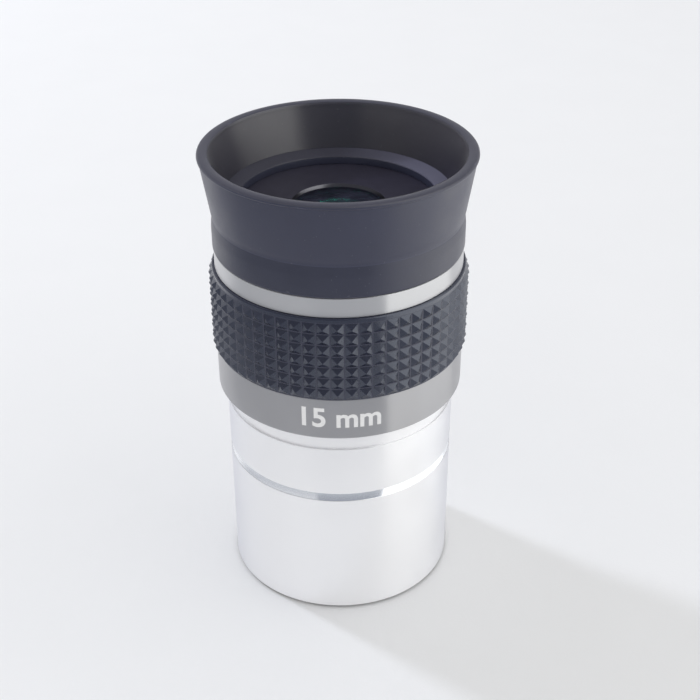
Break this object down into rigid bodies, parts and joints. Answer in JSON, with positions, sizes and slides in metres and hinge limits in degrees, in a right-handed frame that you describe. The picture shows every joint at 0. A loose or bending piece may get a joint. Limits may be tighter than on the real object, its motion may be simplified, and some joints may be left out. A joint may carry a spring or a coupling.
{
  "type": "telescope eyepiece",
  "caption": "Telescope eyepiece with a push-in metal barrel, knurled rubber grip, two cemented lens doublets and a fold-down rubber eyecup.",
  "frame": {"origin": "centre of the open end of the barrel, on the optical axis", "axes": "+Z along the optical axis from the barrel's open end towards the observer's eye; the part is round about Z, and +Y points away from the main view"},
  "size_m": [0.0362, 0.0362, 0.0639],
  "materials": {
    "barrel_chrome": "satin chrome plate with one polished band",
    "body_metal": "fine turned satin, clear anodised",
    "black_metal": "matte black anodised",
    "grip_rubber": "matte moulded rubber with pyramid knurls",
    "cup_rubber": "soft matte rubber, slightly bluish",
    "crown_glass": "polished optical glass",
    "flint_glass": "polished optical glass with a green antireflection coating"
  },
  "bodies": {
    "housing": {"body_shell": "body_metal", "grip_ring": "grip_rubber", "lens_cell": "black_metal", "eye_lens_flint": "flint_glass", "eye_lens_crown": "crown_glass", "doublet_spacer": "black_metal", "field_lens_crown": "crown_glass", "field_lens_flint": "flint_glass", "lens_retainer": "black_metal"},
    "eyecup": {"eyecup_seat": "cup_rubber"},
    "eyecup_lip": {"eyecup_flare": "cup_rubber"},
    "stop_ring": {"field_stop": "black_metal"},
    "barrel": {"barrel": "barrel_chrome"}
  },
  "joints": [
    {"name": "eyecup_turn", "type": "hinge", "parent": "housing", "child": "eyecup", "pos_m": [0, 0, 0.054], "axis": [0, 0, 1], "continuous": true},
    {"name": "eyecup_fold", "type": "slide", "parent": "eyecup", "child": "eyecup_lip", "axis": [0, 0, -1], "range_m": [0, 0.0145], "deforming": ["eyecup_flare"]},
    {"name": "barrel_advance", "type": "slide", "parent": "housing", "child": "stop_ring", "axis": [0, 0, -1], "range_m": [0, 0.00375]},
    {"name": "barrel_turn", "type": "hinge", "parent": "stop_ring", "child": "barrel", "pos_m": [0, 0, 0.0303], "axis": [0, 0, -1], "range_deg": [0, 1800]}
  ],
  "couplings": [
    {"joint": "barrel_turn", "follows": "barrel_advance", "rad_per_m": 8377.6}
  ]
}
